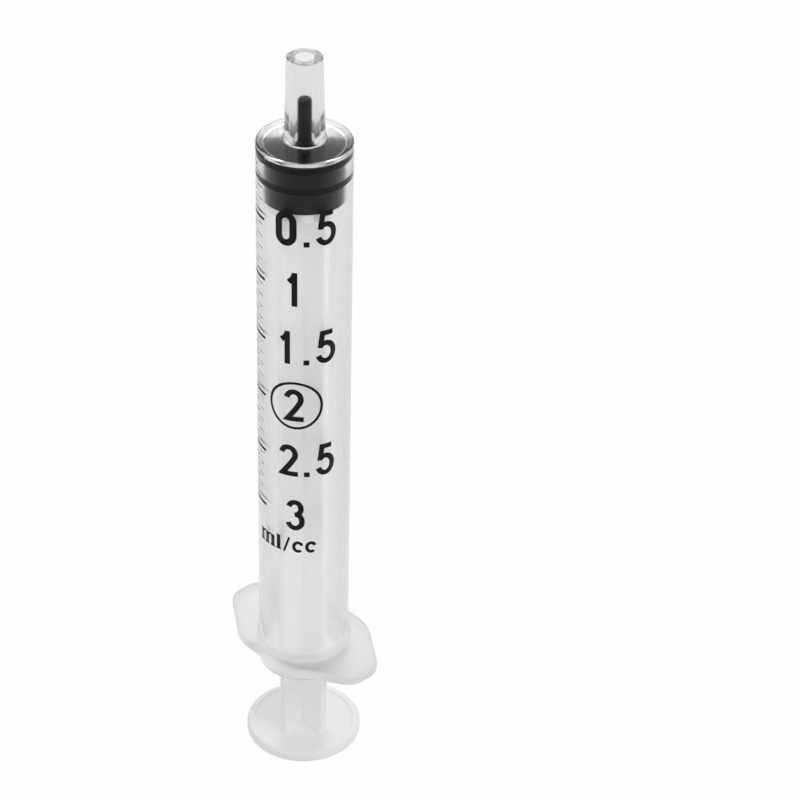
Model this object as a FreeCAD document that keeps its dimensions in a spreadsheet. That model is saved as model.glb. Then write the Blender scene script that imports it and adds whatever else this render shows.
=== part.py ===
import FreeCAD, Part
import Sketcher
import os

# Luer slip syringe, standing on its thumb rest with the plunger pushed home.
# Origin: centre of the thumb rest's underside. +Z runs up the axis to the luer tip,
# +X runs along the finger flange, and the graduations face the -Y side.
# Driving dimensions in millimetres, each written once.
sizes = {
    # Plunger rod: thumb rest, crossed ribs, support disc and snap head
    "thumbDiameter": 13.9,
    "thumbThickness": 1.25,
    "thumbRimWidth": 0.8,
    "thumbRecess": 0.2,
    "thumbEdgeChamfer": 0.3,
    "gripGrooveDepth": 0.2,
    "gripGrooveWidth": 0.5,
    "gripGrooveRadius": 3.0,
    "gripGroovePitch": 1.3,
    "rodLength": 76.2,
    "ribSpan": 7.0,
    "ribThickness": 0.95,
    "supportDiameter": 8.3,
    "supportThickness": 1.1,
    "neckDiameter": 3.0,
    "neckLength": 1.2,
    "headDiameter": 4.8,
    "headLength": 0.9,
    "headNoseLength": 0.9,
    "headNoseDiameter": 2.4,
    # Rubber stopper: two sealing ribs, a shallow cone and a nose that fills the tip
    "stopperLength": 5.95,
    "grooveDepth": 0.1,
    "ribRamp": 0.15,
    "frontRibWidth": 0.85,
    "rearRibHeight": 2.5,
    "rearRibWidth": 0.8,
    "stopperEdge": 0.15,
    "noseDiameter": 1.56,
    "noseBaseDiameter": 1.9,
    "noseFlareLength": 0.9,
    "noseSetback": 4.83,
    "noseTipChamfer": 0.15,
    "cavityLeadIn": 0.3,
    # Barrel: tube, end wall, luer tip and mouth
    "boreDiameter": 9.1,
    "barrelWall": 0.8,
    "boreLength": 70.7,
    "endWall": 0.9,
    "endConeRise": 0.45,
    "shoulderRadius": 0.5,
    "mouthChamfer": 0.25,
    "mouthLeadIn": 0.3,
    "beadHeight": 0.15,
    "beadPosition": 2.8,
    "beadHalfWidth": 0.4,
    "tipLength": 9.95,
    "tipMouthDiameter": 4.0,
    "tipTaper": 0.06,
    "tipRimChamfer": 0.15,
    "tipRootChamfer": 0.25,
    "tipBoreDiameter": 2.06,
    "tipBoreBaseDiameter": 2.2,
    "throatDiameter": 2.5,
    "throatLength": 0.4,
    # Finger flange: one plate with two wings
    "flangePosition": 2.5,
    "flangeThickness": 1.4,
    "flangeLength": 22.2,
    "flangeWidth": 13.0,
    "flangeFlatLength": 8.8,
    "flangeTipWidth": 3.8,
    "flangeTipRadius": 2.5,
    "flangeSideRadius": 5.5,
    "flangeEdgeChamfer": 0.3,
    "flangeRootChamfer": 0.3,
    # Clearances between the pieces
    "sealClearance": 0.03,
    "endClearance": 0.05,
    "snapClearance": 0.05,
}

# Positions and radii that follow from the driving dimensions
derived = {
    "thumbRadius": "=thumbDiameter / 2",
    "rimInner": "=thumbRadius - thumbRimWidth",
    "floorInner": "=rimInner - thumbRecess",
    "thumbFloor": "=thumbThickness - thumbRecess",
    "supportRadius": "=supportDiameter / 2",
    "supportBack": "=rodLength - supportThickness",
    "ribReach": "=ribSpan / 2",
    "ribHalf": "=ribThickness / 2",
    "neckRadius": "=neckDiameter / 2",
    "neckTop": "=rodLength + neckLength",
    "headRadius": "=headDiameter / 2",
    "headTop": "=neckTop + headLength",
    "headNoseRadius": "=headNoseDiameter / 2",
    "headNoseTop": "=headTop + headNoseLength",
    "stopperRear": "=rodLength",
    "stopperFront": "=stopperRear + stopperLength",
    "boreRadius": "=boreDiameter / 2",
    "sealRadius": "=boreRadius - sealClearance",
    "stopperRadius": "=sealRadius - grooveDepth",
    "rearRadius": "=stopperRadius - stopperEdge",
    "rearBevelTop": "=stopperRear + stopperEdge",
    "rearRibLow": "=stopperRear + rearRibHeight",
    "rearRibHigh": "=rearRibLow + rearRibWidth",
    "rearRampLow": "=rearRibLow - ribRamp",
    "rearRampHigh": "=rearRibHigh + ribRamp",
    "frontRibLow": "=stopperFront - frontRibWidth",
    "frontRampLow": "=frontRibLow - ribRamp",
    "frontBevelLow": "=stopperFront - stopperEdge",
    "faceRadius": "=sealRadius - stopperEdge",
    "noseRadius": "=noseDiameter / 2",
    "noseBaseRadius": "=noseBaseDiameter / 2",
    "throatRadius": "=throatDiameter / 2",
    "endSlope": "=endConeRise / (boreRadius - throatRadius)",
    "noseBase": "=stopperFront + endSlope * (faceRadius - noseBaseRadius)",
    "noseFlareTop": "=noseBase + noseFlareLength",
    "noseBevelRadius": "=noseRadius - noseTipChamfer",
    "cavityNeckRadius": "=neckRadius + snapClearance",
    "cavityMouthRadius": "=cavityNeckRadius + cavityLeadIn",
    "cavityLeadTop": "=stopperRear + cavityLeadIn",
    "cavityLedge": "=neckTop - snapClearance",
    "cavityRadius": "=headRadius + snapClearance",
    "cavityTop": "=headTop + snapClearance",
    "cavityNoseRadius": "=headNoseRadius + snapClearance",
    "cavityNoseTop": "=headNoseTop + snapClearance",
    "barrelRadius": "=boreRadius + barrelWall",
    "boreEnd": "=stopperFront + endClearance",
    "mouthHeight": "=boreEnd - boreLength",
    "shoulderHeight": "=boreEnd + endWall",
    "coneTop": "=boreEnd + endConeRise",
    "throatTop": "=coneTop + throatLength",
    "tipTop": "=shoulderHeight + tipLength",
    "noseTop": "=tipTop - noseSetback",
    "noseBevelLow": "=noseTop - noseTipChamfer",
    "tipMouthRadius": "=tipMouthDiameter / 2",
    "tipBaseRadius": "=tipMouthRadius + tipTaper * tipLength / 2",
    "tipBoreRadius": "=tipBoreDiameter / 2",
    "tipBoreBaseRadius": "=tipBoreBaseDiameter / 2",
    "mouthRadius": "=boreRadius + mouthLeadIn",
    "mouthLeadTop": "=mouthHeight + mouthLeadIn",
    "beadRadius": "=boreRadius - beadHeight",
    "beadMiddle": "=mouthHeight + beadPosition",
    "beadLow": "=beadMiddle - beadHalfWidth",
    "beadHigh": "=beadMiddle + beadHalfWidth",
    "flangeLow": "=mouthHeight + flangePosition",
    "flangeHigh": "=flangeLow + flangeThickness",
    "flangeReach": "=flangeLength / 2",
    "flangeHalfWidth": "=flangeWidth / 2",
    "flangeFlatReach": "=flangeFlatLength / 2",
    "flangeTipHalf": "=flangeTipWidth / 2",
}

doc = FreeCAD.newDocument("syringe")
sheet = doc.addObject("Spreadsheet::Sheet", "Sizes")
for row, (alias, value) in enumerate(list(sizes.items()) + list(derived.items()), start=1):
    cell = "B" + str(row)
    sheet.set("A" + str(row), alias)
    sheet.set(cell, str(value))
    sheet.setAlias(cell, alias)
doc.recompute()


def size(alias):
    return float(sheet.get(alias))


def bind(feature, prop, alias):
    # One property of a feature takes its value from one named cell.
    feature.setExpression(prop, "Sizes." + alias)


def signed(alias):
    # A coordinate is an alias, an alias with a minus sign, or empty for the axis.
    if alias == "":
        return 0.0
    if alias.startswith("-"):
        return -size(alias[1:])
    return size(alias)


def place(sketch, index, axis, alias):
    # The start point of line number index is held at one coordinate by the named cell.
    if alias == "":
        kind = "PointOnObject"
        line = -2 if axis == "x" else -1
        sketch.addConstraint(Sketcher.Constraint(kind, index, 1, line))
        return
    kind = "DistanceX" if axis == "x" else "DistanceY"
    value = signed(alias)
    number = sketch.addConstraint(Sketcher.Constraint(kind, -1, 1, index, 1, value))
    sign = "-" if alias.startswith("-") else ""
    sketch.setExpression("Constraints[" + str(number) + "]", sign + "Sizes." + alias.lstrip("-"))


def originPlane(body, role):
    for feature in body.Origin.OriginFeatures:
        if feature.Role == role:
            return feature
    raise RuntimeError("no plane " + role)


def outline(body, name, role, corners, lift=None):
    # A closed outline of straight lines through corners given as pairs of named cells.
    sketch = body.newObject("Sketcher::SketchObject", name)
    sketch.AttachmentSupport = [(originPlane(body, role), "")]
    sketch.MapMode = "FlatFace"
    if lift:
        bind(sketch, "AttachmentOffset.Base.z", lift)
    addLoop(sketch, corners)
    return sketch


def addLoop(sketch, corners):
    points = [FreeCAD.Vector(signed(x), signed(y), 0) for x, y in corners]
    first = sketch.GeometryCount
    count = len(points)
    for index in range(count):
        line = Part.LineSegment(points[index], points[(index + 1) % count])
        sketch.addGeometry(line, False)
    for index in range(count):
        following = first + (index + 1) % count
        sketch.addConstraint(Sketcher.Constraint("Coincident", first + index, 2, following, 1))
    for index, (x, y) in enumerate(corners):
        place(sketch, first + index, "x", x)
        place(sketch, first + index, "y", y)


def revolve(body, kind, name, sketch):
    feature = body.newObject("PartDesign::" + kind, name)
    feature.Profile = sketch
    feature.ReferenceAxis = (sketch, ["V_Axis"])
    feature.Angle = 360.0
    doc.recompute()
    return feature


def ringEdges(shape, radius, height):
    # Names of the circular edges about the axis with this radius at this height.
    names = []
    for number, edge in enumerate(shape.Edges, start=1):
        curve = edge.Curve
        if not isinstance(curve, Part.Circle):
            continue
        onAxis = abs(curve.Center.x) < 0.001 and abs(curve.Center.y) < 0.001
        if onAxis and abs(curve.Radius - radius) < 0.001 and abs(curve.Center.z - height) < 0.001:
            names.append("Edge" + str(number))
    return names


def soften(body, kind, name, base, edges, alias):
    if not edges:
        raise RuntimeError(name + " found no edge")
    feature = body.newObject("PartDesign::" + kind, name)
    feature.Base = (base, edges)
    bind(feature, "Radius" if kind == "Fillet" else "Size", alias)
    doc.recompute()
    return feature


def newBody(name):
    body = doc.addObject("PartDesign::Body", name)
    body.Label = name
    return body


def buildPlungerRod():
    body = newBody("plunger_rod")
    # Cross section of the rod: four ribs at right angles
    cross = outline(body, "RodSection", "XY_Plane", [
        ("ribReach", "-ribHalf"), ("ribReach", "ribHalf"), ("ribHalf", "ribHalf"),
        ("ribHalf", "ribReach"), ("-ribHalf", "ribReach"), ("-ribHalf", "ribHalf"),
        ("-ribReach", "ribHalf"), ("-ribReach", "-ribHalf"), ("-ribHalf", "-ribHalf"),
        ("-ribHalf", "-ribReach"), ("ribHalf", "-ribReach"), ("ribHalf", "-ribHalf"),
    ])
    ribs = body.newObject("PartDesign::Pad", "CrossedRibs")
    ribs.Profile = cross
    bind(ribs, "Length", "supportBack")
    doc.recompute()
    # Thumb rest with a raised rim round its upper face
    rest = outline(body, "ThumbSection", "XZ_Plane", [
        ("", ""), ("thumbRadius", ""), ("thumbRadius", "thumbThickness"),
        ("rimInner", "thumbThickness"), ("floorInner", "thumbFloor"), ("", "thumbFloor"),
    ])
    thumb = revolve(body, "Revolution", "ThumbRest", rest)
    # Support disc behind the stopper, then the neck and the head it snaps over
    head = outline(body, "HeadSection", "XZ_Plane", [
        ("", "supportBack"), ("supportRadius", "supportBack"), ("supportRadius", "rodLength"),
        ("neckRadius", "rodLength"), ("neckRadius", "neckTop"), ("headRadius", "neckTop"),
        ("headRadius", "headTop"), ("headNoseRadius", "headNoseTop"), ("", "headNoseTop"),
    ])
    snap = revolve(body, "Revolution", "SnapHead", head)
    radius = size("thumbRadius")
    edges = ringEdges(snap.Shape, radius, 0.0) + ringEdges(snap.Shape, radius, size("thumbThickness"))
    rim = soften(body, "Chamfer", "ThumbEdge", snap, edges, "thumbEdgeChamfer")
    # Three shallow rings cut into the face that the thumb presses
    rings = body.newObject("Sketcher::SketchObject", "GripSection")
    rings.AttachmentSupport = [(originPlane(body, "XZ_Plane"), "")]
    rings.MapMode = "FlatFace"
    for number in range(3):
        addGripRing(rings, number)
    grips = revolve(body, "Groove", "GripRings", rings)
    body.Tip = grips
    doc.recompute()
    return body


def addGripRing(sketch, number):
    # A triangle on its base: its middle stands one pitch further out for each ring.
    middle = size("gripGrooveRadius") + number * size("gripGroovePitch")
    half = size("gripGrooveWidth") / 2
    depth = size("gripGrooveDepth")
    corners = [(middle - half, 0.0), (middle + half, 0.0), (middle, depth)]
    first = sketch.GeometryCount
    for index in range(3):
        start = FreeCAD.Vector(corners[index][0], corners[index][1], 0)
        end = FreeCAD.Vector(corners[(index + 1) % 3][0], corners[(index + 1) % 3][1], 0)
        sketch.addGeometry(Part.LineSegment(start, end), False)
    for index in range(3):
        following = first + (index + 1) % 3
        sketch.addConstraint(Sketcher.Constraint("Coincident", first + index, 2, following, 1))
    centre = "Sizes.gripGrooveRadius + " + str(number) + " * Sizes.gripGroovePitch"
    across = [centre + " - Sizes.gripGrooveWidth / 2", centre + " + Sizes.gripGrooveWidth / 2", centre]
    for index in range(3):
        offset = Sketcher.Constraint("DistanceX", -1, 1, first + index, 1, corners[index][0])
        constraint = sketch.addConstraint(offset)
        sketch.setExpression("Constraints[" + str(constraint) + "]", across[index])
    for index in range(2):
        sketch.addConstraint(Sketcher.Constraint("PointOnObject", first + index, 1, -1))
    rise = sketch.addConstraint(Sketcher.Constraint("DistanceY", -1, 1, first + 2, 1, depth))
    sketch.setExpression("Constraints[" + str(rise) + "]", "Sizes.gripGrooveDepth")


def buildStopper():
    body = newBody("stopper")
    section = outline(body, "StopperSection", "XZ_Plane", [
        ("", "stopperRear"), ("rearRadius", "stopperRear"), ("stopperRadius", "rearBevelTop"),
        ("stopperRadius", "rearRampLow"), ("sealRadius", "rearRibLow"), ("sealRadius", "rearRibHigh"),
        ("stopperRadius", "rearRampHigh"), ("stopperRadius", "frontRampLow"),
        ("sealRadius", "frontRibLow"), ("sealRadius", "frontBevelLow"), ("faceRadius", "stopperFront"),
        ("noseBaseRadius", "noseBase"), ("noseRadius", "noseFlareTop"), ("noseRadius", "noseBevelLow"),
        ("noseBevelRadius", "noseTop"), ("", "noseTop"),
    ])
    revolve(body, "Revolution", "StopperBlank", section)
    # Cavity that snaps over the rod's head
    cavity = outline(body, "CavitySection", "XZ_Plane", [
        ("", "stopperRear"), ("cavityMouthRadius", "stopperRear"), ("cavityNeckRadius", "cavityLeadTop"),
        ("cavityNeckRadius", "cavityLedge"), ("cavityRadius", "cavityLedge"),
        ("cavityRadius", "cavityTop"), ("cavityNoseRadius", "cavityNoseTop"), ("", "cavityNoseTop"),
    ])
    socket = revolve(body, "Groove", "SnapCavity", cavity)
    body.Tip = socket
    doc.recompute()
    return body


def wingCorners(shape, x, y):
    # Names of the plate's upright edges at plus or minus x and y.
    names = []
    for number, edge in enumerate(shape.Edges, start=1):
        middle = edge.CenterOfMass
        upright = abs(edge.Vertexes[0].Point.z - edge.Vertexes[-1].Point.z) > 0.001
        if upright and abs(abs(middle.x) - x) < 0.001 and abs(abs(middle.y) - y) < 0.001:
            names.append("Edge" + str(number))
    return names


def plateRim(shape, height):
    # Names of the edges round the plate's outside at this height.
    names = []
    for number, edge in enumerate(shape.Edges, start=1):
        box = edge.BoundBox
        flat = abs(box.ZMin - height) < 0.001 and abs(box.ZMax - height) < 0.001
        outside = max(abs(box.XMin), abs(box.XMax), abs(box.YMin), abs(box.YMax)) > size("barrelRadius") + 0.2
        if flat and outside:
            names.append("Edge" + str(number))
    return names


def buildBarrel():
    body = newBody("barrel")
    section = outline(body, "BarrelSection", "XZ_Plane", [
        ("", "mouthHeight"), ("barrelRadius", "mouthHeight"), ("barrelRadius", "shoulderHeight"),
        ("tipBaseRadius", "shoulderHeight"), ("tipMouthRadius", "tipTop"), ("", "tipTop"),
    ])
    blank = revolve(body, "Revolution", "BarrelBlank", section)
    shoulder = ringEdges(blank.Shape, size("barrelRadius"), size("shoulderHeight"))
    blank = soften(body, "Fillet", "ShoulderRound", blank, shoulder, "shoulderRadius")
    root = ringEdges(blank.Shape, size("tipBaseRadius"), size("shoulderHeight"))
    blank = soften(body, "Chamfer", "TipRoot", blank, root, "tipRootChamfer")
    rim = ringEdges(blank.Shape, size("tipMouthRadius"), size("tipTop"))
    blank = soften(body, "Chamfer", "TipRim", blank, rim, "tipRimChamfer")
    mouth = ringEdges(blank.Shape, size("barrelRadius"), size("mouthHeight"))
    blank = soften(body, "Chamfer", "MouthEdge", blank, mouth, "mouthChamfer")
    # Finger flange: long sides flat beside the barrel, then narrowing to two rounded tips
    plan = outline(body, "FlangeOutline", "XY_Plane", [
        ("flangeReach", "-flangeTipHalf"), ("flangeReach", "flangeTipHalf"),
        ("flangeFlatReach", "flangeHalfWidth"), ("-flangeFlatReach", "flangeHalfWidth"),
        ("-flangeReach", "flangeTipHalf"), ("-flangeReach", "-flangeTipHalf"),
        ("-flangeFlatReach", "-flangeHalfWidth"), ("flangeFlatReach", "-flangeHalfWidth"),
    ], "flangeLow")
    plate = body.newObject("PartDesign::Pad", "FingerFlange")
    plate.Profile = plan
    bind(plate, "Length", "flangeThickness")
    doc.recompute()
    tips = wingCorners(plate.Shape, size("flangeReach"), size("flangeTipHalf"))
    plate = soften(body, "Fillet", "WingTips", plate, tips, "flangeTipRadius")
    sides = wingCorners(plate.Shape, size("flangeFlatReach"), size("flangeHalfWidth"))
    plate = soften(body, "Fillet", "WingSides", plate, sides, "flangeSideRadius")
    edges = plateRim(plate.Shape, size("flangeLow")) + plateRim(plate.Shape, size("flangeHigh"))
    plate = soften(body, "Chamfer", "WingEdges", plate, edges, "flangeEdgeChamfer")
    joins = ringEdges(plate.Shape, size("barrelRadius"), size("flangeLow"))
    joins = joins + ringEdges(plate.Shape, size("barrelRadius"), size("flangeHigh"))
    plate = soften(body, "Chamfer", "FlangeRoot", plate, joins, "flangeRootChamfer")
    # Bore: lead-in, retaining bead, straight bore, shallow cone, throat and tip passage
    bore = outline(body, "BoreSection", "XZ_Plane", [
        ("", "mouthHeight"), ("mouthRadius", "mouthHeight"), ("boreRadius", "mouthLeadTop"),
        ("boreRadius", "beadLow"), ("beadRadius", "beadMiddle"), ("boreRadius", "beadHigh"),
        ("boreRadius", "boreEnd"), ("throatRadius", "coneTop"), ("tipBoreBaseRadius", "throatTop"),
        ("tipBoreRadius", "tipTop"), ("", "tipTop"),
    ])
    hollow = revolve(body, "Groove", "Bore", bore)
    body.Tip = hollow
    doc.recompute()
    return body


bodies = [buildPlungerRod(), buildStopper(), buildBarrel()]
doc.recompute()

for item in doc.Objects:
    if "Invalid" in item.State or "Error" in item.State:
        raise RuntimeError(item.Name + " failed: " + str(item.State))

os.makedirs("parts", exist_ok=True)
for body in bodies:
    shape = body.Shape
    if shape.isNull() or not shape.isValid() or len(shape.Solids) != 1:
        raise RuntimeError(body.Label + " has no valid single solid")
    shape.exportStep("parts/" + body.Label + ".step")
    box = shape.BoundBox
    print(body.Label, "volume", round(shape.Volume, 2), "mm3, height", round(box.ZMin, 2), "to", round(box.ZMax, 2))
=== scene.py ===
import math
import bpy
import numpy as np
from mathutils import Matrix, Vector


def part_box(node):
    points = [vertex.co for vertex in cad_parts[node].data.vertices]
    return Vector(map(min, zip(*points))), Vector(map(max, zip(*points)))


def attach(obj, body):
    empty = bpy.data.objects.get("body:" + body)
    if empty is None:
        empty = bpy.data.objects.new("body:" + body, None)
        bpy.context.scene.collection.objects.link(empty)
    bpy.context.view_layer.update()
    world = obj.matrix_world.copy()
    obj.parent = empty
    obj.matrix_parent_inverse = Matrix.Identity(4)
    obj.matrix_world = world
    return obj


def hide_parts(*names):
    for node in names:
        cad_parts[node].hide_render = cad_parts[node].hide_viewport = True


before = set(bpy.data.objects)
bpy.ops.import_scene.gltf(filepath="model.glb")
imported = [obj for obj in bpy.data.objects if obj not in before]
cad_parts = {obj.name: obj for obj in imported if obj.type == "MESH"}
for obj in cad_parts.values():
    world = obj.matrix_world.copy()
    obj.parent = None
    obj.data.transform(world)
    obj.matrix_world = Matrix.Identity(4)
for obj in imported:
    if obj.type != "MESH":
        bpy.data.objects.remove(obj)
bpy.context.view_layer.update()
mm = 0.001
print("frame loaded")

# Camera: the photograph's view, in the row frame. The aim is a point on the syringe's axis.
cameraSetup = {
    "azimuth": 47.5,        # degrees, the flange's near wing points right and forward
    "elevation": 34.5,      # degrees above the horizon
    "distance": 336.0,      # mm from the aim point
    "aimHeight": 48.9,      # mm up the axis
    "lens": 132.0,          # mm
    "sensor": 36.0,         # mm
    "yaw": -1.87,           # degrees, leaves the syringe left of the middle
    "roll": -0.1,           # degrees
    "near": 0.01,           # m, nothing nearer is drawn
    "far": 20.0,            # m, nor anything further
}


def turned(axis, degrees, vector):
    return Matrix.Rotation(math.radians(degrees), 3, axis) @ vector


def addCamera(setup):
    azimuth = math.radians(setup["azimuth"])
    elevation = math.radians(setup["elevation"])
    back = Vector((math.sin(azimuth) * math.cos(elevation),
                   -math.cos(azimuth) * math.cos(elevation), math.sin(elevation)))
    right = Vector((math.cos(azimuth), math.sin(azimuth), 0.0))
    up = right.cross(-back)
    forward = turned(up, setup["yaw"], -back)
    right = turned(up, setup["yaw"], right)
    right = turned(forward, setup["roll"], right)
    up = turned(forward, setup["roll"], up)
    data = bpy.data.cameras.new("camera")
    data.lens = setup["lens"]
    data.sensor_width = setup["sensor"]
    data.clip_start = setup["near"]
    data.clip_end = setup["far"]
    camera = bpy.data.objects.new("camera", data)
    place = Vector((0, 0, setup["aimHeight"] * mm)) + back * setup["distance"] * mm
    camera.matrix_world = Matrix.Translation(place) @ Matrix((right, up, -forward)).transposed().to_4x4()
    bpy.context.scene.collection.objects.link(camera)
    bpy.context.scene.camera = camera


addCamera(cameraSetup)
print("camera placed")


# Surfaces: a grid of points, one row for each step along a profile, one column for each
# angle about the axis. Rows may close on themselves or end in a pole on the axis.
def gridFaces(rows, columns, closeRows):
    row = np.arange(rows if closeRows else rows - 1)[:, None]
    column = np.arange(columns)[None, :]
    nextRow = (row + 1) % rows
    nextColumn = (column + 1) % columns
    quads = np.stack([row * columns + column, row * columns + nextColumn,
                      nextRow * columns + nextColumn, nextRow * columns + column], axis=-1)
    return quads.reshape(-1, 4)


# Fan: one triangle from each side of a ring to its pole, turned over where it faces down
def fanFaces(ring, pole, flip):
    following = np.roll(ring, -1)
    fan = np.stack([following, ring, np.full(len(ring), pole)], axis=-1)
    return fan[:, ::-1] if flip else fan


def makeMesh(name, points, quads, triangles=None):
    faces = quads.tolist()
    if triangles is not None:
        faces += triangles.tolist()
    mesh = bpy.data.meshes.new(name)
    mesh.from_pydata(points.tolist(), [], faces)
    mesh.validate()
    mesh.shade_smooth()
    return mesh


def addPiece(name, mesh, material, body):
    piece = bpy.data.objects.new(name, mesh)
    bpy.context.scene.collection.objects.link(piece)
    piece.data.materials.append(material)
    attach(piece, body)
    return piece


# A profile's corners are rounded: each corner is a point (radius, height) with a rounding
# radius, and the arc that touches both of its sides is sampled in equal turns. A guard point
# just beyond each end of the arc keeps the straight stretches flat where normals are smoothed.
def roundedProfile(corners, closed, stepDegrees=15.0, longest=1.6, guard=0.004):
    count = len(corners)
    path = []
    for index, (x, y, radius) in enumerate(corners):
        here = np.array([x, y])
        if not closed and index in (0, count - 1):
            path.append(here)
            continue
        before = np.array(corners[index - 1][:2]) - here
        after = np.array(corners[(index + 1) % count][:2]) - here
        reach = min(np.linalg.norm(before), np.linalg.norm(after)) * 0.49
        before = before / np.linalg.norm(before)
        after = after / np.linalg.norm(after)
        half = math.acos(np.clip(before @ after, -1, 1)) / 2
        if radius <= 0 or half > math.radians(89):
            path.append(here)
            continue
        radius = min(radius, reach * math.tan(half))
        middle = (before + after) / np.linalg.norm(before + after)
        centre = here + middle * radius / math.sin(half)
        start = here + before * radius / math.tan(half) - centre
        sweep = math.pi - 2 * half
        side = math.copysign(1.0, before[0] * after[1] - before[1] * after[0])
        steps = max(2, int(math.ceil(math.degrees(sweep) / stepDegrees)))
        turn = -side * np.linspace(0, sweep, steps + 1)
        bend = np.stack([centre[0] + start[0] * np.cos(turn) - start[1] * np.sin(turn),
                         centre[1] + start[0] * np.sin(turn) + start[1] * np.cos(turn)], axis=-1)
        path += [bend[0] + before * guard, *bend, bend[-1] + after * guard]
    return splitLong(np.array(path), closed, longest)


def splitLong(path, closed, longest):
    # Long straight stretches get points in between, so that quads stay near square.
    ends = np.vstack([path, path[:1]]) if closed else path
    pieces = []
    for start, end in zip(ends[:-1], ends[1:]):
        steps = max(1, int(math.ceil(np.linalg.norm(end - start) / longest)))
        pieces.append(start + (end - start) * (np.arange(steps) / steps)[:, None])
    if not closed:
        pieces.append(ends[-1:])
    return np.vstack(pieces)


def anglesRound(columns):
    return np.arange(columns) * 2 * math.pi / columns


# Points round the axis: (r cos a, r sin a, z), for each row's height z and its radius r at angle a
def pointsRound(radius, height):
    angle = anglesRound(radius.shape[1])
    points = np.stack([radius * np.cos(angle), radius * np.sin(angle),
                       np.repeat(height[:, None], len(angle), axis=1)], axis=-1)
    return points.reshape(-1, 3) * mm


# Closed surface: rows of points round the axis, with a fan to a pole at each end
def closedMesh(name, radius, height, poles):
    rows, columns = radius.shape
    ends = np.array([[0, 0, poles[0]], [0, 0, poles[1]]]) * mm
    points = np.vstack([pointsRound(radius, height), ends])
    first = np.arange(columns)
    last = first + (rows - 1) * columns
    fans = np.vstack([fanFaces(first, rows * columns, False), fanFaces(last, rows * columns + 1, True)])
    return makeMesh(name, points, gridFaces(rows, columns, False), fans)


# Materials
def hexColour(text):
    parts = np.array([int(text[index:index + 2], 16) for index in (1, 3, 5)]) / 255
    linear = np.where(parts <= 0.04045, parts / 12.92, ((parts + 0.055) / 1.055) ** 2.4)
    return (*linear.tolist(), 1.0)


def newMaterial(name):
    material = bpy.data.materials.new(name)
    material.use_nodes = True
    material.node_tree.nodes.clear()
    return material, material.node_tree


def addNode(tree, kind, settings=None, links=None):
    # Adds one node: settings are its own properties or its sockets' values, links join
    # its sockets to (node, output) pairs.
    node = tree.nodes.new("ShaderNode" + kind)
    for key, value in (settings or {}).items():
        if isinstance(key, int) or key in node.inputs:
            node.inputs[key].default_value = value
        else:
            setattr(node, key, value)
    for key, (source, output) in (links or {}).items():
        tree.links.new(source.outputs[output], node.inputs[key])
    return node


def output(tree, shader):
    addNode(tree, "OutputMaterial", {}, {"Surface": (shader, 0)})


# Barrel: injection moulded clear polypropylene. The mesh's share "frost" carries its roughness
# from gloss, as a polished mould gives, to haze, and its share "milk" its colour from clear to
# milky. Its reflections are toned down by "glare", and the surface has a faint waviness about
# 3 mm across and a finer grain.
def barrelPolypropylene():
    look = {
        "clear": "#ffffff", "milky": "#dcdcdc", "glare": "#7a7a7a", "ior": 1.49,
        "gloss": 0.1, "haze": 0.4, "waveSize": 3.0, "waveDepth": 0.004,
        "grainSize": 0.35, "grainDepth": 0.0012,
    }
    material, tree = newMaterial("polypropylene_clear_moulded")
    place = addNode(tree, "TexCoord")
    wave = addNode(tree, "TexNoise", {"Scale": 1 / (look["waveSize"] * mm), "Detail": 2.0},
                   {"Vector": (place, "Object")})
    grain = addNode(tree, "TexNoise", {"Scale": 1 / (look["grainSize"] * mm), "Detail": 1.0},
                    {"Vector": (place, "Object")})
    soft = addNode(tree, "Bump", {"Strength": 1.0, "Distance": look["waveDepth"] * mm},
                   {"Height": (wave, 0)})
    fine = addNode(tree, "Bump", {"Strength": 1.0, "Distance": look["grainDepth"] * mm},
                   {"Height": (grain, 0), "Normal": (soft, 0)})
    frost = addNode(tree, "Attribute", {"attribute_name": "frost"})
    roughness = addNode(tree, "MapRange", {"To Min": look["gloss"], "To Max": look["haze"]},
                        {"Value": (frost, "Fac")})
    milk = addNode(tree, "Attribute", {"attribute_name": "milk"})
    colour = addNode(tree, "Mix", {
        "data_type": "RGBA", 6: hexColour(look["clear"]), 7: hexColour(look["milky"]),
    }, {"Factor": (milk, "Fac")})
    shader = addNode(tree, "BsdfPrincipled", {
        "IOR": look["ior"], "Transmission Weight": 1.0, "Specular Tint": hexColour(look["glare"]),
    }, {"Base Color": (colour, 2), "Roughness": (roughness, 0), "Normal": (fine, 0)})
    output(tree, shader)
    return material


# Plunger rod: natural polypropylene, milky, moulded with a satin surface.
def rodPolypropylene():
    look = {
        "colour": "#fcfcfc", "ior": 1.49, "roughness": 0.45, "milk": 0.5, "milkDepth": 1.0,
        "milkSpread": (1.0, 1.0, 1.0), "grainSize": 0.5, "grainDepth": 0.004,
    }
    material, tree = newMaterial("polypropylene_natural_satin")
    place = addNode(tree, "TexCoord")
    grain = addNode(tree, "TexNoise", {"Scale": 1 / (look["grainSize"] * mm), "Detail": 3.0},
                    {"Vector": (place, "Object")})
    bump = addNode(tree, "Bump", {"Strength": 1.0, "Distance": look["grainDepth"] * mm},
                   {"Height": (grain, 0)})
    shader = addNode(tree, "BsdfPrincipled", {
        "Base Color": hexColour(look["colour"]), "IOR": look["ior"], "Roughness": look["roughness"],
        "Subsurface Weight": look["milk"], "Subsurface Radius": look["milkSpread"],
        "Subsurface Scale": look["milkDepth"] * mm,
    }, {"Normal": (bump, 0)})
    output(tree, shader)
    return material


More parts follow.
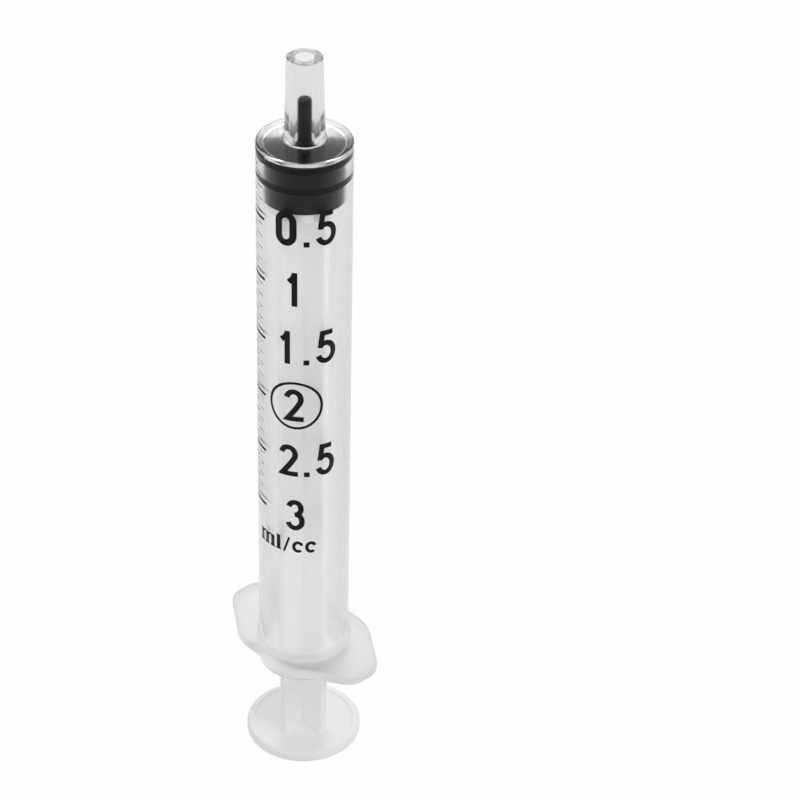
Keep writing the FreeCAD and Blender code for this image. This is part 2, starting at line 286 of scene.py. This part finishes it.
# Stopper: moulded black rubber, a nearly matt black with soft highlights.
def stopperRubber():
    look = {
        "dark": "#060606", "pale": "#101010", "ior": 1.52, "roughness": 0.6, "shine": 0.12,
        "mottleSize": 0.6, "grainSize": 0.12, "grainDepth": 0.006,
    }
    material, tree = newMaterial("rubber_black_moulded")
    place = addNode(tree, "TexCoord")
    mottle = addNode(tree, "TexNoise", {"Scale": 1 / (look["mottleSize"] * mm), "Detail": 3.0},
                     {"Vector": (place, "Object")})
    colour = addNode(tree, "Mix", {
        "data_type": "RGBA", 6: hexColour(look["dark"]), 7: hexColour(look["pale"]),
    }, {"Factor": (mottle, 0)})
    grain = addNode(tree, "TexNoise", {"Scale": 1 / (look["grainSize"] * mm), "Detail": 2.0},
                    {"Vector": (place, "Object")})
    bump = addNode(tree, "Bump", {"Strength": 1.0, "Distance": look["grainDepth"] * mm},
                   {"Height": (grain, 0)})
    shader = addNode(tree, "BsdfPrincipled", {
        "IOR": look["ior"], "Roughness": look["roughness"], "Specular IOR Level": look["shine"],
    }, {"Base Color": (colour, 2), "Normal": (bump, 0)})
    output(tree, shader)
    return material


# Print: screen printed black ink, matt, a little uneven in its black.
def printInk():
    look = {"dark": "#060606", "pale": "#121212", "roughness": 0.7, "shine": 0.15, "patchSize": 0.4}
    material, tree = newMaterial("ink_black_screen_printed")
    place = addNode(tree, "TexCoord")
    patch = addNode(tree, "TexNoise", {"Scale": 1 / (look["patchSize"] * mm), "Detail": 4.0},
                    {"Vector": (place, "Object")})
    colour = addNode(tree, "Mix", {
        "data_type": "RGBA", 6: hexColour(look["dark"]), 7: hexColour(look["pale"]),
    }, {"Factor": (patch, 0)})
    shader = addNode(tree, "BsdfPrincipled", {
        "Roughness": look["roughness"], "Specular IOR Level": look["shine"],
    }, {"Base Color": (colour, 2)})
    output(tree, shader)
    return material


barrelMaterial = barrelPolypropylene()
rodMaterial = rodPolypropylene()
stopperMaterial = stopperRubber()
inkMaterial = printInk()
print("materials made")

# Levels up the axis come from the solids: mouth and tip of the barrel, rear and nose of the
# stopper, top of the rod. The two widest radii stay a hair inside the solids' box.
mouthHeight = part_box("barrel")[0].z / mm
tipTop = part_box("barrel")[1].z / mm
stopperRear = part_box("stopper")[0].z / mm
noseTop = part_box("stopper")[1].z / mm
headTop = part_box("plunger_rod")[1].z / mm
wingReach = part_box("barrel")[1].x / mm - 0.003
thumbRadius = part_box("plunger_rod")[1].x / mm - 0.005

# Barrel, in mm: bore and tube, end wall and tip, retaining bead in the mouth, finger flange
barrelSizes = {
    "bore": 4.55, "outside": 5.35, "tipLength": 9.95, "endWall": 0.9, "coneRise": 0.45,
    "tipMouth": 2.0, "tipBase": 2.2985, "tipBore": 1.03, "tipBoreBase": 1.1, "throat": 1.25,
    "throatLength": 0.4, "leadIn": 0.3, "beadMiddle": 2.8, "beadHalf": 0.4, "beadHeight": 0.15,
    "flangeLow": 2.5, "flangeThickness": 1.4, "flatReach": 4.4, "halfWidth": 6.5,
    "wingTipHalf": 1.9, "footLength": 1.0, "columns": 600,
    "crown": 0.075,          # how far the shoulder rises or falls from its level
    # Rounds at the edges
    "wingTipRound": 2.5, "wingSideRound": 5.5, "wingEdgeRound": 0.4, "rootRound": 0.4,
    "mouthRound": 0.25, "shoulderRound": 0.28, "tipRootRound": 0.3, "tipRimRound": 0.15,
    "tipBoreRound": 0.08, "throatRound": 0.1, "boreEndRound": 0.12, "beadRound": 0.2,
    "beadTopRound": 0.3, "leadInRound": 0.2, "innerRimRound": 0.1,
    # How frosted and how milky each surface is, from 0 to 1. The flange is frosted most, then
    # the tube's foot, fading up to the shoulder. The bore and the tip's channel aren't milky.
    "wingFrost": 0.8, "footFrost": 0.55, "boreFrost": 0.15, "channelFrost": 0.35,
    "wingMilk": 1.0, "skinMilk": 0.9,
    # Where those surfaces end
    "boreMargin": 0.2, "shoulderMargin": 0.05, "channelReach": 1.6, "footMargin": 0.2,
}


# Wing outline: distance from the axis at each angle, of an eight-sided plate with rounded corners
def wingRadius(sizes, angle):
    reach, width = wingReach, sizes["halfWidth"]
    flat, tip = sizes["flatReach"], sizes["wingTipHalf"]
    corners = [(reach, -tip, sizes["wingTipRound"]), (reach, tip, sizes["wingTipRound"]),
               (flat, width, sizes["wingSideRound"]), (-flat, width, sizes["wingSideRound"]),
               (-reach, tip, sizes["wingTipRound"]), (-reach, -tip, sizes["wingTipRound"]),
               (-flat, -width, sizes["wingSideRound"]), (flat, -width, sizes["wingSideRound"])]
    path = roundedProfile(corners, True, stepDegrees=3.0, longest=0.2)
    turn = np.arctan2(path[:, 1], path[:, 0])
    order = np.argsort(turn)
    return np.interp(angle, turn[order], np.hypot(path[:, 0], path[:, 1])[order], period=2 * math.pi)


# Barrel surface: one closed profile loop carried round the axis. A profile point's radius is
# its own value, and on the flange's edge it is measured from the wing outline instead.
def barrelMesh(sizes):
    low = mouthHeight + sizes["flangeLow"]
    high = low + sizes["flangeThickness"]
    shoulder = tipTop - sizes["tipLength"]
    boreEnd = shoulder - sizes["endWall"]
    coneTop = boreEnd + sizes["coneRise"]
    footTop = high + sizes["footLength"]
    bead = mouthHeight + sizes["beadMiddle"]
    bore, outside = sizes["bore"], sizes["outside"]
    far = 1000.0                                     # marks the points that follow the wing outline
    corners = [
        (bore + sizes["leadIn"], mouthHeight, sizes["innerRimRound"]),
        (outside, mouthHeight, sizes["mouthRound"]),
        (outside, low, sizes["rootRound"]),
        (far, low, sizes["wingEdgeRound"]),
        (far, high, sizes["wingEdgeRound"]),
        (outside, high, sizes["rootRound"]),
        (outside, footTop, 0),
        (outside, shoulder - sizes["crown"], sizes["shoulderRound"]),
        (sizes["tipBase"], shoulder + sizes["crown"], sizes["tipRootRound"]),
        (sizes["tipMouth"], tipTop, sizes["tipRimRound"]),
        (sizes["tipBore"], tipTop, sizes["tipBoreRound"]),
        (sizes["tipBoreBase"], coneTop + sizes["throatLength"], sizes["throatRound"]),
        (sizes["throat"], coneTop, sizes["throatRound"]),
        (bore, boreEnd, sizes["boreEndRound"]),
        (bore, bead + sizes["beadHalf"], sizes["beadRound"]),
        (bore - sizes["beadHeight"], bead, sizes["beadTopRound"]),
        (bore, bead - sizes["beadHalf"], sizes["beadRound"]),
        (bore, mouthHeight + sizes["leadIn"], sizes["leadInRound"]),
    ]
    profile = roundedProfile(corners, True, longest=far)      # long stretches stay whole
    radii, heights = profile[:, 0], profile[:, 1]
    onWing = radii > far / 2
    wing = wingRadius(sizes, anglesRound(sizes["columns"]))
    radius = np.where(onWing[:, None], radii[:, None] - far + wing[None, :], radii[:, None])
    quads = gridFaces(len(profile), sizes["columns"], True)
    mesh = makeMesh("barrel_moulding", pointsRound(radius, heights), quads)
    inBore = (radii < bore + sizes["boreMargin"]) & (heights < shoulder - sizes["shoulderMargin"])
    inChannel = ~inBore & (radii < sizes["channelReach"])
    byWing = heights < footTop - sizes["footMargin"]
    inFoot = heights < footTop + sizes["footMargin"]
    frost = np.select(
        [inBore & byWing, inBore, inChannel, onWing | byWing, inFoot],
        [sizes[place + "Frost"] for place in ("foot", "bore", "channel", "wing", "foot")], 0.0)
    milk = np.select([inBore | inChannel, onWing], [0.0, sizes["wingMilk"]], sizes["skinMilk"])
    addShare(mesh, "frost", frost, sizes["columns"])
    addShare(mesh, "milk", milk, sizes["columns"])
    return mesh


# A share is one value for each row of points, the same all the way round
def addShare(mesh, name, shares, columns):
    attribute = mesh.attributes.new(name, "FLOAT", "POINT")
    attribute.data.foreach_set("value", np.repeat(shares, columns).astype(np.float32))


barrelSurface = barrelMesh(barrelSizes)
barrel = addPiece("barrel_moulding", barrelSurface, barrelMaterial, "barrel")
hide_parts("barrel")
print("barrel made")

# Stopper, in mm. Its sealing ribs meet the bore's wall, as squeezed rubber does.
stopperSizes = {
    "seal": 4.556, "body": 4.42, "face": 4.4, "length": 5.95, "rearRib": 2.5,
    "rearRibWidth": 0.8, "frontRibWidth": 0.85, "ramp": 0.15, "coneRise": 0.43, "noseBase": 0.95,
    "nose": 0.78, "flare": 0.9, "neck": 1.55, "neckBevel": 0.3, "cavity": 2.45, "ledge": 1.15,
    "cavityTop": 2.15, "cavityNose": 1.25, "cavityNoseTop": 3.05, "columns": 192,
    "cavityRound": 0.1, "bevelRound": 0.05, "rearRound": 0.2, "bodyRound": 0.1, "ribRound": 0.12,
    "noseRootRound": 0.15, "flareRound": 0.5, "noseRound": 0.2,
}


# Stopper surface: a profile from the cavity's roof, out round the rear and the ribs, to the
# nose's tip, carried round the axis.
def stopperMesh(sizes):
    rear, front = stopperRear, stopperRear + sizes["length"]
    rib = rear + sizes["rearRib"]
    ribTop = rib + sizes["rearRibWidth"]
    frontRib = front - sizes["frontRibWidth"]
    base = front + sizes["coneRise"]
    cavity, body, seal = sizes["cavity"], sizes["body"], sizes["seal"]
    corners = [
        (0, rear + sizes["cavityNoseTop"], 0),
        (sizes["cavityNose"], rear + sizes["cavityNoseTop"], sizes["cavityRound"]),
        (cavity, rear + sizes["cavityTop"], sizes["cavityRound"]),
        (cavity, rear + sizes["ledge"], sizes["cavityRound"]),
        (sizes["neck"], rear + sizes["ledge"], sizes["cavityRound"]),
        (sizes["neck"], rear + sizes["neckBevel"], sizes["cavityRound"]),
        (sizes["neck"] + sizes["neckBevel"], rear, sizes["bevelRound"]),
        (body, rear, sizes["rearRound"]),
        (body, rib - sizes["ramp"], sizes["bodyRound"]),
        (seal, rib, sizes["ribRound"]),
        (seal, ribTop, sizes["ribRound"]),
        (body, ribTop + sizes["ramp"], sizes["bodyRound"]),
        (body, frontRib - sizes["ramp"], sizes["bodyRound"]),
        (seal, frontRib, sizes["ribRound"]),
        (seal, front - sizes["ribRound"], sizes["bodyRound"]),
        (sizes["face"], front, sizes["ribRound"]),
        (sizes["noseBase"], base, sizes["noseRootRound"]),
        (sizes["nose"], base + sizes["flare"], sizes["flareRound"]),
        (sizes["nose"], noseTop, sizes["noseRound"]),
        (0, noseTop, 0),
    ]
    profile = roundedProfile(corners, False, longest=0.8)
    radius = np.repeat(profile[1:-1, :1], sizes["columns"], axis=1)
    return closedMesh("stopper_moulding", radius, profile[1:-1, 1], (profile[0, 1], profile[-1, 1]))


stopperSurface = stopperMesh(stopperSizes)
stopper = addPiece("stopper_moulding", stopperSurface, stopperMaterial, "seal")
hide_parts("stopper")
print("stopper made")

# Plunger rod, in mm: crossed ribs, thumb rest with a rim above and grip rings below, support
# disc, neck and snap head. The foot is the round where the ribs meet a disc.
rodSizes = {
    "ribReach": 3.5, "ribHalf": 0.475, "thickness": 1.25, "rimWidth": 0.8, "recess": 0.2,
    "grooves": 3, "grooveRadius": 3.0, "groovePitch": 1.3, "grooveHalf": 0.25, "grooveDepth": 0.2,
    "support": 4.15, "supportThickness": 1.1, "neck": 1.5, "neckLength": 1.2, "head": 2.4,
    "headLength": 0.9, "headNose": 1.2, "foot": 0.3, "floorMargin": 1.0, "discMargin": 0.4,
    "edgeRound": 0.35, "grooveRound": 0.05, "discRound": 0.1, "recessRound": 0.15, "headRound": 0.15,
    "footSteps": 5, "ribSteps": 40, "columns": 480, "sharpAngle": 40.0,
}


# Cross outline: distance from the axis at each angle. In each eighth of a turn it is the nearer
# of the rib's end, reach / cos a, and the rib's side, half / sin a, blended by a high power.
def crossRadius(reach, half, angle, power=20.0):
    folded = np.abs((angle + math.pi / 4) % (math.pi / 2) - math.pi / 4)
    end = reach / np.cos(folded)
    side = half / np.maximum(np.sin(folded), 1e-6)
    return (end ** -power + side ** -power) ** (-1 / power)


# Rod surface: a stack of outlines. Each level gives a height and an outline, which is either
# a circle of a given radius or the cross grown by a given margin.
def rodMesh(sizes):
    discTop = stopperRear
    discLow = discTop - sizes["supportThickness"]
    headLow = discTop + sizes["neckLength"]
    floor = sizes["thickness"] - sizes["recess"]
    inner = thumbRadius - sizes["rimWidth"]
    corners = [(0, 0, 0)]
    for number in range(sizes["grooves"]):
        middle = sizes["grooveRadius"] + number * sizes["groovePitch"]
        corners += [(middle - sizes["grooveHalf"], 0, sizes["grooveRound"]),
                    (middle, sizes["grooveDepth"], sizes["grooveRound"]),
                    (middle + sizes["grooveHalf"], 0, sizes["grooveRound"])]
    corners += [
        (thumbRadius, 0, sizes["edgeRound"]),
        (thumbRadius, sizes["thickness"], sizes["edgeRound"]),
        (inner, sizes["thickness"], sizes["discRound"]),
        (inner - sizes["recess"], floor, sizes["recessRound"]),
        (sizes["ribReach"] + sizes["floorMargin"], floor, 0),
    ]
    lower = roundedProfile(corners, False, longest=1.0)[1:]
    corners = [
        (sizes["ribReach"] + sizes["discMargin"], discLow, 0),
        (sizes["support"], discLow, sizes["discRound"]),
        (sizes["support"], discTop, sizes["discRound"]),
        (sizes["neck"], discTop, sizes["discRound"]),
        (sizes["neck"], headLow, sizes["discRound"]),
        (sizes["head"], headLow, sizes["discRound"]),
        (sizes["head"], headLow + sizes["headLength"], sizes["headRound"]),
        (sizes["headNose"], headTop, sizes["headRound"]),
        (0, headTop, 0),
    ]
    upper = roundedProfile(corners, False, longest=1.0)[:-1]
    turn = np.linspace(0, math.pi / 2, sizes["footSteps"])
    footMargin = sizes["foot"] * (1 - np.sin(turn))
    footHeight = floor + sizes["foot"] * (1 - np.cos(turn))
    length = np.linspace(footHeight[-1], discLow - sizes["foot"], sizes["ribSteps"])[1:-1]
    margins = np.concatenate([footMargin, np.zeros(len(length)), footMargin[::-1]])[:, None]
    top = discLow - (footHeight[::-1] - floor)
    angle = anglesRound(sizes["columns"])[None, :]
    cross = crossRadius(sizes["ribReach"] + margins, sizes["ribHalf"] + margins, angle)
    radius = np.vstack([np.repeat(lower[:, :1], sizes["columns"], axis=1), cross,
                        np.repeat(upper[:, :1], sizes["columns"], axis=1)])
    height = np.concatenate([lower[:, 1], footHeight, length, top, upper[:, 1]])
    mesh = closedMesh("plunger_moulding", radius, height, (0, headTop))
    mesh.set_sharp_from_angle(angle=math.radians(sizes["sharpAngle"]))
    return mesh


rodSurface = rodMesh(rodSizes)
rod = addPiece("plunger_moulding", rodSurface, rodMaterial, "plunger")
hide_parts("plunger_rod")
print("plunger made")

# Print on the barrel. Each glyph is a set of strokes in millimetres on a flat sheet: x runs
# round the barrel to the right, y runs up. The sheet is then wrapped on the barrel.
printSetup = {
    "zero": 82.46,            # height of the zero line
    "halfMillilitre": 7.688,  # between numbers
    "facing": -42.5,          # degrees, where x = 0 lies
    "digitHeight": 4.35, "stroke": 0.66, "zeroStroke": 0.82, "thickness": 0.02, "lift": 0.004,
    "stripStep": 0.12,        # the longest straight step along a stroke
    "ringMiddle": -1.03, "ringDrop": 0.05, "ringRadius": 3.05, "ringStroke": 0.32, "ringSteps": 72,
    "ticks": 31, "minorStroke": 0.14, "majorStroke": 0.34,
    "tickEnd": -103.0, "majorTick": -54.5, "minorTick": -72.0,      # degrees from x = 0
    "sharpAngle": 40.0,
}
# Numbers: the text, where each glyph starts, and how wide it is
numberRows = [
    ("0.5", (-3.35, -0.1, 1.3), (2.5, 0.66, 2.4)),
    ("1", (-2.13,), (1.62,)),
    ("1.5", (-3.0, -0.1, 1.35), (1.67, 0.66, 2.4)),
    ("2", (-2.35,), (2.3,)),
    ("2.5", (-3.0, -0.02, 1.4), (2.3, 0.66, 2.3)),
    ("3", (-2.15,), (2.25,)),
]
# Unit, "ml/cc" in serif letters: where each letter stands, its height and its strokes
unitSetup = {
    "base": 30.95, "height": 1.62, "tall": 2.05, "bold": 0.5, "thin": 0.2,
    "mStems": (-5.85, -4.92, -3.99), "lStem": -3.13, "slash": (-2.42, -1.75), "slashDrop": 0.1,
    "foot": 0.35, "lFlag": 0.27, "footInset": 0.07, "flagInset": 0.08,
    "archHeight": 0.4, "archInset": 0.06, "archStroke": 0.26, "slashStroke": 0.26,
    "cStarts": (-1.4, 0.13), "cMiddle": 0.7, "cHalf": 0.5, "cInset": 0.18, "cStroke": 0.4,
    "cTail": (0.92, 1.26), "cTailHeight": 0.74, "cTailStroke": 0.38,
}


def line(startX, startY, endX, endY):
    return np.array([[startX, startY], [endX, endY]])


# Arc of an ellipse: (centre + radius cos a, centre + radius sin a), a in degrees from start to end
def arc(centreX, centreY, radiusX, radiusY, start, end, steps):
    turn = np.radians(np.linspace(start, end, steps + 1))
    if end - start == 360:
        turn = turn[:-1]
    return np.stack([centreX + radiusX * np.cos(turn), centreY + radiusY * np.sin(turn)], axis=-1)


# Digit centre lines in a box of the given width and height, less half a stroke all round
def digitStrokes(digit, width, height, stroke):
    w, h = width - stroke, height - stroke
    x, y = stroke / 2, stroke / 2
    if digit == "0":
        cap = w * 0.58
        top = arc(x + w / 2, y + h - cap, w / 2, cap, 0, 180, 16)
        low = arc(x + w / 2, y + cap, w / 2, cap, 180, 360, 16)
        return [(np.vstack([top, low]), True)]
    if digit == "1":
        stem = line(x + w * 0.72, y - stroke / 2, x + w * 0.72, y + h + stroke / 2)
        flag = np.array([[x + w * 0.72, y + h], [x + w * 0.45, y + h * 0.86], [x, y + h * 0.76]])
        return [(stem, False), (flag, False)]
    if digit == "2":
        bowl = arc(x + w * 0.5, y + h * 0.73, w * 0.5, h * 0.27, 170, -28, 18)
        foot = line(x + w * 0.06, y, x + w + stroke / 2, y)
        return [(np.vstack([bowl, [[x + w * 0.62, y + h * 0.36]], foot]), False)]
    if digit == "3":
        top = arc(x + w * 0.46, y + h * 0.755, w * 0.46, h * 0.245, 165, -90, 18)
        low = arc(x + w * 0.48, y + h * 0.27, w * 0.52, h * 0.27, 90, -165, 20)
        return [(top, False), (low, False)]
    if digit == "5":
        bar = np.array([[x + w * 0.95, y + h], [x + w * 0.22, y + h], [x + w * 0.08, y + h * 0.48]])
        bowl = arc(x + w * 0.46, y + h * 0.32, w * 0.54, h * 0.32, 140, -160, 24)
        return [(bar, False), (bowl, False)]
    return [(line(0.0, stroke / 2, stroke, stroke / 2), False)]      # the point


# Ribbon's two edges: path + and - normal * stroke / 2. The normal at each point is the mean of
# its two sides', stretched at a corner so that the ribbon keeps its width. The ends are square.
def ribbon(path, closed, stroke):
    ahead = np.roll(path, -1, axis=0) - path
    behind = path - np.roll(path, 1, axis=0)
    if not closed:
        ahead[-1] = behind[-1]
        behind[0] = ahead[0]
    ahead = ahead / np.linalg.norm(ahead, axis=1, keepdims=True)
    behind = behind / np.linalg.norm(behind, axis=1, keepdims=True)
    normal = np.stack([-(ahead + behind)[:, 1], (ahead + behind)[:, 0]], axis=-1)
    normal = normal / np.linalg.norm(normal, axis=1, keepdims=True)
    side = np.stack([-ahead[:, 1], ahead[:, 0]], axis=-1)
    stretch = 1 / np.clip((normal * side).sum(axis=1, keepdims=True), 0.45, 1.0)
    return path + normal * stretch * stroke / 2, path - normal * stretch * stroke / 2


# Ink surface: a closed strip of box section, its inner face just inside the barrel's skin.
# It is wrapped so that angle = facing + x / radius and height = y.
def inkStrip(path, closed, stroke, setup):
    path = splitLong(path, closed, setup["stripStep"])
    left, right = ribbon(path, closed, stroke)
    outer = barrelSizes["outside"] + setup["lift"]
    inner = outer - setup["thickness"]
    loops = []
    for side, radius in ((left, inner), (right, inner), (right, outer), (left, outer)):
        angle = math.radians(setup["facing"]) + side[:, 0] / barrelSizes["outside"]
        loops.append(np.stack([radius * np.cos(angle), radius * np.sin(angle), side[:, 1]], axis=-1))
    points = np.stack(loops, axis=1).reshape(-1, 3)
    quads = gridFaces(len(path), 4, closed)
    if not closed:
        last = (len(path) - 1) * 4
        caps = np.array([[3, 2, 1, 0], [last, last + 1, last + 2, last + 3]])
        quads = np.vstack([quads, caps])
    return points, quads


def joinStrips(strips):
    # One set of points and faces from many, each strip's faces counted on from the last
    points, quads, offset = [], [], 0
    for stripPoints, stripQuads in strips:
        points.append(stripPoints)
        quads.append(stripQuads + offset)
        offset += len(stripPoints)
    return np.vstack(points) * mm, np.vstack(quads)


def addPrint(name, strips, setup):
    points, quads = joinStrips(strips)
    mesh = makeMesh(name, points, quads)
    mesh.set_sharp_from_angle(angle=math.radians(setup["sharpAngle"]))
    return addPiece(name, mesh, inkMaterial, "barrel")


def numberStrips(text, starts, widths, middle, setup):
    strips = []
    low = middle - setup["digitHeight"] / 2
    for glyph, start, width in zip(text, starts, widths):
        stroke = setup["zeroStroke"] if glyph == "0" else setup["stroke"]
        for path, closed in digitStrokes(glyph, width, setup["digitHeight"], stroke):
            strips.append(inkStrip(path + np.array([start, low]), closed, stroke, setup))
    return strips


# The m is three stems with an arch between each two, the l one stem, and each c a bowl and a tail
def unitStrips(unit, setup):
    base = unit["base"]
    top, tall = base + unit["height"], base + unit["tall"]
    foot, flag, tallFlag = base + unit["footInset"], top - unit["flagInset"], tall - unit["footInset"]
    strips = []

    def draw(path, stroke):
        strips.append(inkStrip(path, False, unit[stroke], setup))

    for stem in unit["mStems"]:
        draw(line(stem, base, stem, top), "bold")
        draw(line(stem - unit["foot"], foot, stem + unit["foot"], foot), "thin")
    first = unit["mStems"][0]
    draw(line(first - unit["foot"], flag, first, flag), "thin")
    for stem, following in zip(unit["mStems"][:-1], unit["mStems"][1:]):
        half = (following - stem) / 2
        spring = top - unit["archHeight"] - unit["archInset"]
        draw(arc(stem + half, spring, half, unit["archHeight"], 180, 0, 10), "archStroke")
    stem = unit["lStem"]
    draw(line(stem, base, stem, tall), "bold")
    draw(line(stem - unit["foot"], foot, stem + unit["foot"], foot), "thin")
    draw(line(stem - unit["lFlag"], tallFlag, stem, tallFlag), "thin")
    slashFoot, slashTop = unit["slash"]
    draw(line(slashFoot, base - unit["slashDrop"], slashTop, tall), "slashStroke")
    half, tail = unit["height"] / 2, base + unit["height"] * unit["cTailHeight"]
    tailStart, tailEnd = unit["cTail"]
    for start in unit["cStarts"]:
        middle = start + unit["cMiddle"]
        draw(arc(middle, base + half, unit["cHalf"], half - unit["cInset"], 48, 312, 18), "cStroke")
        draw(line(start + tailStart, tail, start + tailEnd, tail), "cTailStroke")
    return strips


# Graduations at every tenth of a millilitre, longer and bolder at every half
def tickStrips(setup):
    strips = []
    for tenth in range(setup["ticks"]):
        kind = "major" if tenth % 5 == 0 else "minor"
        height = setup["zero"] - tenth * setup["halfMillilitre"] / 5
        left, right = np.radians([setup["tickEnd"], setup[kind + "Tick"]]) * barrelSizes["outside"]
        strips.append(inkStrip(line(left, height, right, height), False, setup[kind + "Stroke"], setup))
    return strips


def ringStrip(setup):
    radius = setup["ringRadius"]
    middle = setup["zero"] - 4 * setup["halfMillilitre"] - setup["ringDrop"]      # round the "2"
    ring = arc(setup["ringMiddle"], middle, radius, radius, 0, 360, setup["ringSteps"])
    return inkStrip(ring, True, setup["ringStroke"], setup)


def addGraduations(rows, unit, setup):
    for index, (text, starts, widths) in enumerate(rows):
        middle = setup["zero"] - (index + 1) * setup["halfMillilitre"]
        strips = numberStrips(text, starts, widths, middle, setup)
        addPrint("number_" + text.replace(".", "_"), strips, setup)
    addPrint("number_ring", [ringStrip(setup)], setup)
    addPrint("unit_letters", unitStrips(unit, setup), setup)
    addPrint("graduations", tickStrips(setup), setup)


addGraduations(numberRows, unitSetup, printSetup)
print("print made")

# Stage: a plain white floor and soft studio light. Lengths are in metres, powers in watts and
# the back light's elevation in degrees.
stageSetup = {
    "floorSize": 3.0, "floorDrop": 0.00001, "floorColour": "#f7f7f7", "floorGlow": 0.95,
    "skyLight": 0.56, "aim": (0, 0, 0.04),
    "keyPlace": (0.42, 0.05, 0.45), "keySize": 0.25, "keyPower": 0.6,
    "fillPlace": (-0.1, -0.5, 0.25), "fillSize": 0.4, "fillPower": 0.05,
    "backDistance": 0.6, "backElevation": 25.0, "backWidth": 0.22, "backHeight": 0.075,
    "backPower": 0.5,
}


def seenDirectly(tree):
    # One where a camera, mirror or see-through ray arrives, so that gloss and clear
    # plastic show the same white as the background.
    path = addNode(tree, "LightPath")
    first = addNode(tree, "Math", {"operation": "MAXIMUM"},
                    {0: (path, "Is Camera Ray"), 1: (path, "Is Glossy Ray")})
    return addNode(tree, "Math", {"operation": "MAXIMUM"},
                   {0: (first, 0), 1: (path, "Is Transmission Ray")})


def addFloor(setup):
    size = setup["floorSize"] / 2
    low = -setup["floorDrop"]                        # just under the syringe's base
    points = np.array([[-size, -size, low], [size, -size, low], [size, size, low], [-size, size, low]])
    mesh = bpy.data.meshes.new("floor")
    mesh.from_pydata(points.tolist(), [], [(0, 1, 2, 3)])
    floor = bpy.data.objects.new("floor", mesh)
    bpy.context.scene.collection.objects.link(floor)
    material, tree = newMaterial("studio_floor")
    diffuse = addNode(tree, "BsdfDiffuse", {"Color": hexColour(setup["floorColour"])})
    glow = addNode(tree, "Emission", {"Color": (1, 1, 1, 1), "Strength": 1.0})
    share = addNode(tree, "Math", {"operation": "MULTIPLY", 1: setup["floorGlow"]},
                    {0: (seenDirectly(tree), 0)})
    mix = addNode(tree, "MixShader", {}, {0: (share, 0), 1: (diffuse, 0), 2: (glow, 0)})
    output(tree, mix)
    material.cycles.emission_sampling = "NONE"      # counted where a ray lands on it, never aimed at
    floor.data.materials.append(material)


def addWorld(setup):
    world = bpy.data.worlds.new("studio")
    world.use_nodes = True
    tree = world.node_tree
    tree.nodes.clear()
    seen = addNode(tree, "Background", {"Color": (1, 1, 1, 1), "Strength": 1.0})
    light = addNode(tree, "Background", {"Color": (1, 1, 1, 1), "Strength": setup["skyLight"]})
    mix = addNode(tree, "MixShader", {}, {0: (seenDirectly(tree), 0), 1: (light, 0), 2: (seen, 0)})
    addNode(tree, "OutputWorld", {}, {"Surface": (mix, 0)})
    world.cycles.sampling_method = "NONE"
    bpy.context.scene.world = world


def addSoftbox(name, place, aim, size, power):
    data = bpy.data.lights.new(name, "AREA")
    data.shape = "DISK"
    data.size = size
    data.energy = power
    light = bpy.data.objects.new(name, data)
    light.location = Vector(place)
    light.rotation_euler = (Vector(place) - Vector(aim)).to_track_quat("Z", "Y").to_euler()
    bpy.context.scene.collection.objects.link(light)
    return light


# A low wide softbox behind the syringe: the far half of the shoulder mirrors it
def addBackLight(setup):
    azimuth = math.radians(cameraSetup["azimuth"])
    elevation = math.radians(setup["backElevation"])
    away = Vector((-math.sin(azimuth) * math.cos(elevation), math.cos(azimuth) * math.cos(elevation),
                   math.sin(elevation)))
    shoulder = Vector((0, 0, (tipTop - barrelSizes["tipLength"]) * mm))
    light = addSoftbox("back_light", shoulder + away * setup["backDistance"], shoulder,
                       setup["backWidth"], setup["backPower"])
    light.data.shape = "RECTANGLE"
    light.data.size_y = setup["backHeight"]


addFloor(stageSetup)
addWorld(stageSetup)
for light in ("key", "fill"):
    addSoftbox(light + "_light", stageSetup[light + "Place"], stageSetup["aim"],
               stageSetup[light + "Size"], stageSetup[light + "Power"])
addBackLight(stageSetup)
bpy.context.scene.view_settings.view_transform = "Standard"
# Light inside clear walls turns back many times before it leaves, and with no blur of glossy
# rays the light that the rod scatters leaves the barrel undimmed
cycles = bpy.context.scene.cycles
cycles.max_bounces = 32
cycles.glossy_bounces = 16
cycles.transmission_bounces = 24
cycles.diffuse_bounces = 8
cycles.blur_glossy = 0.0
print("stage set")
